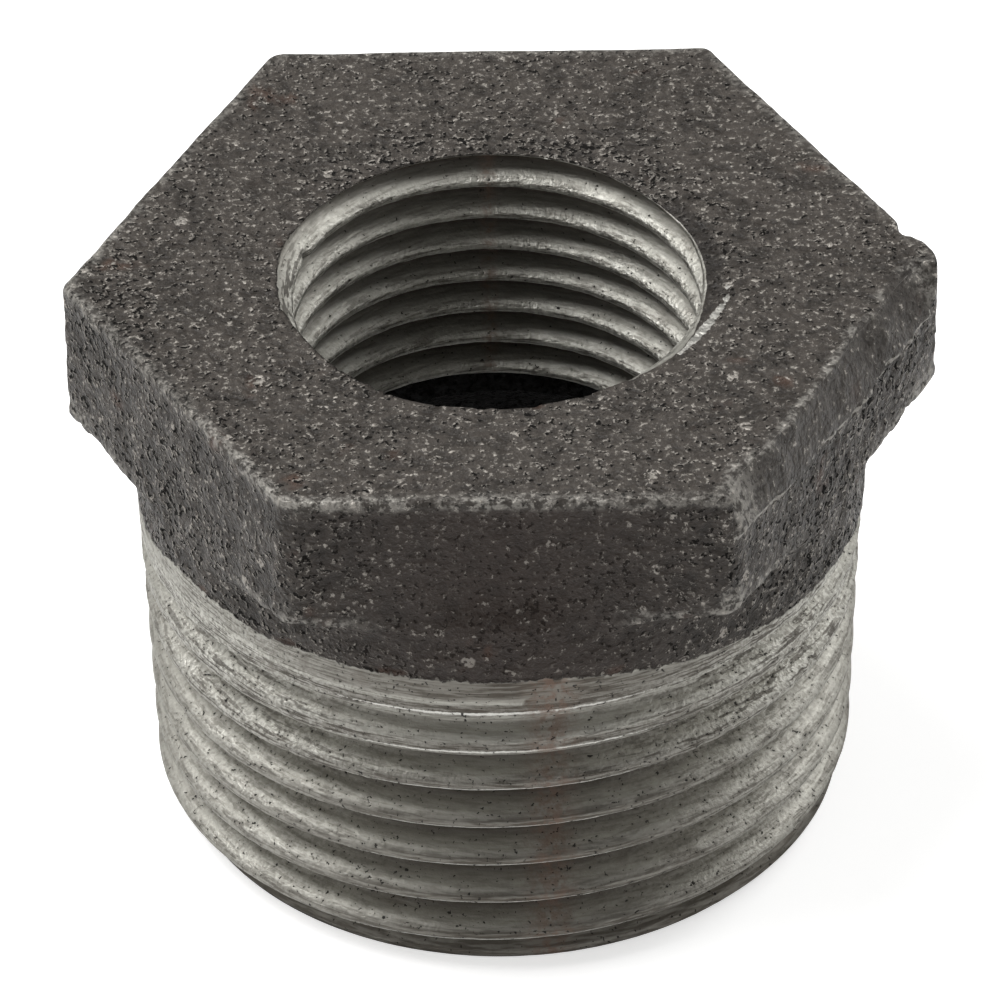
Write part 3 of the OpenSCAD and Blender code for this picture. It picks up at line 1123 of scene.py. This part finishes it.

# %% [markdown]
# The cut iron's colour
# Cut iron is grey with level lines. Its thread roots get painted shade, most in front, and
# its steep crests in front get painted shade too. Torn iron is pale and grainy, the lower
# edge of each front crest gets a painted highlight, and the bore has fewer pits than the
# outside.

# %% Colour of the cut iron
cut_colour = g.mix(g.ramp(lines, 0.36, 0.64), (0.4, 0.39, 0.35), (0.5, 0.49, 0.445))
# Painted shade in the thread roots, strongest in front.
root_shade = g.times(g.math("POWER", g.mask("groove"), 2.0), g.ramp(in_front, 0, 1, 0.45, 0.97))
torn_grain = g.times(g.times(is_torn, g.ramp(in_front, 0, 1, 1.0, 0.45)), g.ramp(fine, 0.49, 0.56))
# A painted highlight along the lower edge of each crest in front.
crest_highlight = g.ramp(g.plus(g.mask("edge_line"), g.times(fine, 0.5)), 0.85, 1.05)
rust_streak = g.times(g.mask("streak"), g.ramp(medium, 0.4, 0.6, 0.1, 0.7))
cut_pit = g.ramp(g.plus(fine, g.times(g.mask("bored"), 0.03)), 0.31, 0.35, 0.95, 0)
cut_layers = (
    (root_shade, (0.056, 0.043, 0.034)),
    (torn_grain, (0.72, 0.71, 0.66)),
    (g.times(is_torn, g.ramp(lines, 0.4, 0.47, 0.8, 0.0)), (0.1, 0.09, 0.078)),
    # Painted shade on the steep faces in front and at the foot.
    (g.times(g.mask("upright"), g.ramp(lines, 0.4, 0.6, 1.0, 0.7)), (0.1, 0.088, 0.074)),
    (g.times(g.mask("arcs"), g.ramp(lines, 0.44, 0.5, 0.8, 0.0)), (0.09, 0.083, 0.073)),
    (crest_highlight, (0.75, 0.74, 0.7)),
    (rust_streak, (0.22, 0.145, 0.11)),
    (g.times(g.mask("dirt"), 0.3), (0.14, 0.12, 0.1)),
    (cut_pit, (0.02, 0.018, 0.016)),
)
cut_colour = g.paint(cut_colour, cut_layers)
g.feed(shader.inputs["Base Color"], g.mix(is_cut, skin_colour, cut_colour))
print("Colours laid on the cut iron:", len(cut_layers))

# %% [markdown]
# Shine and relief
# Cut iron is nearly all metal, apart from its pits and its rust. On the skin only the bare
# spots and the specks painted as glints are. The relief is a fine bump: grain and pits on
# the skin, and turning lines and torn grain on cut iron.

# %% Shine and relief of the casting
BUMP_HEIGHT = 0.0004
dull = g.larger(cut_pit, g.times(rust_streak, 0.9))
cut_shine = g.times(is_cut, g.minus(0.95, dull))
bright_skin = g.larger(g.larger(worn, bare_sliver), g.larger(rubbed, glint_speck))
g.feed(shader.inputs["Metallic"], g.larger(cut_shine, g.times(bright_skin, 0.7)))
skin_rough = g.larger(g.ramp(medium, 0.3, 0.7, 0.32, 0.5), pit)
cut_rough = g.ramp(medium, 0.3, 0.7, 0.48, 0.62)
g.feed(shader.inputs["Roughness"], g.mix(is_cut, skin_rough, cut_rough, "FLOAT"))

skin_height = g.plus(g.times(medium, 0.45), g.times(fine, 0.18))
skin_height = g.minus(skin_height, g.times(pit, 0.3))
skin_height = g.plus(skin_height, g.times(coarse, g.ramp(in_shade, 0, 1, 0.6, 0.25)))
cut_grain = g.times(g.times(fine, g.ramp(is_torn, 0, 1, 0.35, 1.6)), 0.2)
cut_height = g.minus(g.plus(cut_grain, g.times(lines, 0.05)), g.times(cut_pit, 0.15))
relief = g.mix(is_cut, skin_height, cut_height, "FLOAT")
bump = g.node("ShaderNodeBump", Strength=1.0, Distance=BUMP_HEIGHT, Height=relief)
g.feed(shader.inputs["Normal"], bump.outputs["Normal"])
bushing.data.materials.append(iron)
print("Material:", len(iron.node_tree.nodes), "nodes")

# %% [markdown]
# The floor
# The floor is a pale disc. Its material adds a little light of its own where the camera sees
# it, so it reads white but keeps the shadow.

# %% Floor
FLOOR_RADIUS = 2.0
FLOOR_SIDES = 96
floor_rim = ring(FLOOR_RADIUS, np.radians(np.arange(FLOOR_SIDES) * 360 / FLOOR_SIDES), 0)
floor_mesh = bpy.data.meshes.new("floor")
floor_mesh.from_pydata(floor_rim.tolist(), [], [list(range(FLOOR_SIDES))])
floor = add_object("floor", floor_mesh)

white = bpy.data.materials.new("pale_floor")
white.use_nodes = True
shader = white.node_tree.nodes["Principled BSDF"]
shader.inputs["Base Color"].default_value = (0.82, 0.82, 0.82, 1)
shader.inputs["Roughness"].default_value = 0.9
g = Graph(white.node_tree)
rays = g.node("ShaderNodeLightPath").outputs
mirrored = g.larger(rays["Is Glossy Ray"], rays["Is Transmission Ray"])
glow = g.larger(g.times(rays["Is Camera Ray"], 0.6), g.times(mirrored, 0.12))
shader.inputs["Emission Color"].default_value = (1, 1, 1, 1)
g.feed(shader.inputs["Emission Strength"], glow)
floor_mesh.materials.append(white)

# %% [markdown]
# The sky
# The sky is bright low down and at the sides, and darker overhead. Bare metal shows that as
# pale flanks at the sides of the thread and dark ones in front. The camera sees plain white.

# %% World
world = bpy.data.worlds.new("studio")
scene.world = world
world.use_nodes = True
background = world.node_tree.nodes["Background"]
background.inputs["Color"].default_value = (1, 0.99, 0.97, 1)
g = Graph(world.node_tree)
way = g.node("ShaderNodeTexCoord").outputs["Generated"]
way = g.node("ShaderNodeSeparateXYZ", Vector=way).outputs
right_glow = g.ramp(way["X"], 0.3, 0.8, 0, 0.3)
left_glow = g.ramp(way["X"], -0.7, -0.2, 0.24, 0)
low_glow = g.ramp(way["Z"], 0.0, 0.45, 0.3, 0.0)
strength = g.plus(g.plus(g.plus(right_glow, left_glow), low_glow), 0.16)
camera_ray = g.node("ShaderNodeLightPath").outputs["Is Camera Ray"]
g.feed(background.inputs["Strength"], g.larger(strength, camera_ray))

# %% [markdown]
# The lamps
# A large soft lamp on the left and a weaker one on the right give the photograph's even
# light, with the brightest metal at the left of the thread and the right of the bore.

# %% Lamps
LAMPS = (
    ("left_softbox", (-0.21, 0.06, 0.44), 0.38, 2.15),
    ("right_softbox", (0.3, 0.17, 0.37), 0.32, 0.85),
)
for name, spot, size, watts in LAMPS:
    lamp = bpy.data.lights.new(name, "AREA")
    lamp.shape = "DISK"
    lamp.size = size
    lamp.energy = watts
    holder = add_object(name, lamp)
    holder.location = spot
    aim = Vector((0, 0, 0.014)) - holder.location
    holder.rotation_euler = aim.to_track_quat("-Z", "Y").to_euler()
    print("Lamp:", name, watts, "W")

# %% [markdown]
# The camera
# The photograph was taken with a long lens from high in front. Its place was worked out
# from the head's corners and the thread's pitch.

# %% Camera
ELEVATION = math.radians(38.256)
ROLL = math.radians(-0.863)
TURN = math.radians(-0.567)
DISTANCE = 0.4064
AIM_Z = 0.014771

camera_data = bpy.data.cameras.new("camera")
camera_data.sensor_width = 36
camera_data.lens = 314.7
camera_data.clip_start = 0.01
camera = add_object("camera", camera_data)
forward = np.array([0, math.cos(ELEVATION), -math.sin(ELEVATION)])
upward = np.array([0, math.sin(ELEVATION), math.cos(ELEVATION)])
right = np.array([1.0, 0, 0])
rolled_right = math.cos(ROLL) * right + math.sin(ROLL) * upward
rolled_up = math.cos(ROLL) * upward - math.sin(ROLL) * right
across = [math.cos(TURN), -math.sin(TURN), 0]
along = [math.sin(TURN), math.cos(TURN), 0]
turn = np.array([across, along, [0, 0, 1]])
pose = np.eye(4)
pose[:3, :3] = turn @ np.stack([rolled_right, rolled_up, -forward], axis=1)
pose[:3, 3] = np.array([0, 0, AIM_Z]) - turn @ forward * DISTANCE
camera.matrix_world = Matrix(pose.tolist())
scene.camera = camera
scene.view_settings.view_transform = "Standard"
print("Camera at:", pose[:3, 3].round(4))
